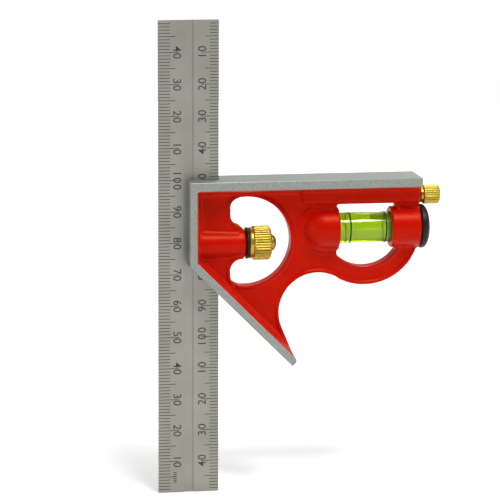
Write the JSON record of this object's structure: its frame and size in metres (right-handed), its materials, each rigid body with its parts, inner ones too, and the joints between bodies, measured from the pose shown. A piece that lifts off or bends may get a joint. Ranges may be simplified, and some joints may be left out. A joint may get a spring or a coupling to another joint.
{
  "type": "combination square",
  "caption": "Combination square: sliding steel rule in a red cast head with 90 and 45 degree faces, brass clamp nut, green level vial and pull-out scriber.",
  "frame": {"origin": "middle of the 90 degree face of the head, at its mid length and mid depth", "axes": "+X along the 90 degree face towards the scriber knob, +Z out of the 90 degree face along the blade, front of the head faces -Y"},
  "size_m": [0.0897, 0.015, 0.15],
  "materials": {
    "red_enamel": "glossy red enamel on the casting, with the border and working faces machined bare grey",
    "satin_steel": "satin ground steel with engraved graduations",
    "blued_steel": "oiled dark steel",
    "spring_steel": "bright spring wire",
    "hardened_steel": "polished hardened steel",
    "brass": "turned and straight knurled brass",
    "black_rubber": "matt black",
    "black_plastic": "moulded plug",
    "clear_acrylic": "polished clear acrylic",
    "green_spirit": "yellow-green tinted spirit",
    "bubble_air": "air",
    "index_ink": "black line"
  },
  "bodies": {
    "head": {"head_casting": "red_enamel", "drawbolt_spring": "spring_steel", "clamp_washer": "black_rubber", "vial_barrel": "clear_acrylic", "vial_liquid": "green_spirit", "vial_plug": "black_plastic", "index_ring_left": "index_ink", "index_ring_right": "index_ink", "vial_end_cap": "black_rubber", "scriber_bush": "brass"},
    "blade": {"blade": "satin_steel"},
    "drawbolt": {"drawbolt": "blued_steel"},
    "clamp_nut": {"clamp_nut": "brass"},
    "scriber": {"scriber_pin": "hardened_steel", "scriber_knob": "brass"},
    "bubble": {"vial_bubble": "bubble_air"}
  },
  "joints": [
    {"name": "blade_slide", "type": "slide", "parent": "head", "child": "blade", "axis": [0, 0, 1], "range_m": [-0.05, 0.073]},
    {"name": "nut_turn", "type": "hinge", "parent": "head", "child": "clamp_nut", "pos_m": [-0.01715, 0, -0.0205], "axis": [1, 0, 0], "range_deg": [0, 450]},
    {"name": "drawbolt_slide", "type": "slide", "parent": "head", "child": "drawbolt", "axis": [1, 0, 0], "range_m": [-0.00088, 0], "deforming": ["drawbolt_spring"]},
    {"name": "scriber_pull", "type": "slide", "parent": "head", "child": "scriber", "axis": [1, 0, 0], "range_m": [0, 0.036]},
    {"name": "bubble_travel", "type": "slide", "parent": "head", "child": "bubble", "axis": [1, 0, 0], "range_m": [-0.0115, 0.003]}
  ],
  "couplings": [
    {"joint": "drawbolt_slide", "follows": "nut_turn", "m_per_rad": -0.00011141}
  ]
}
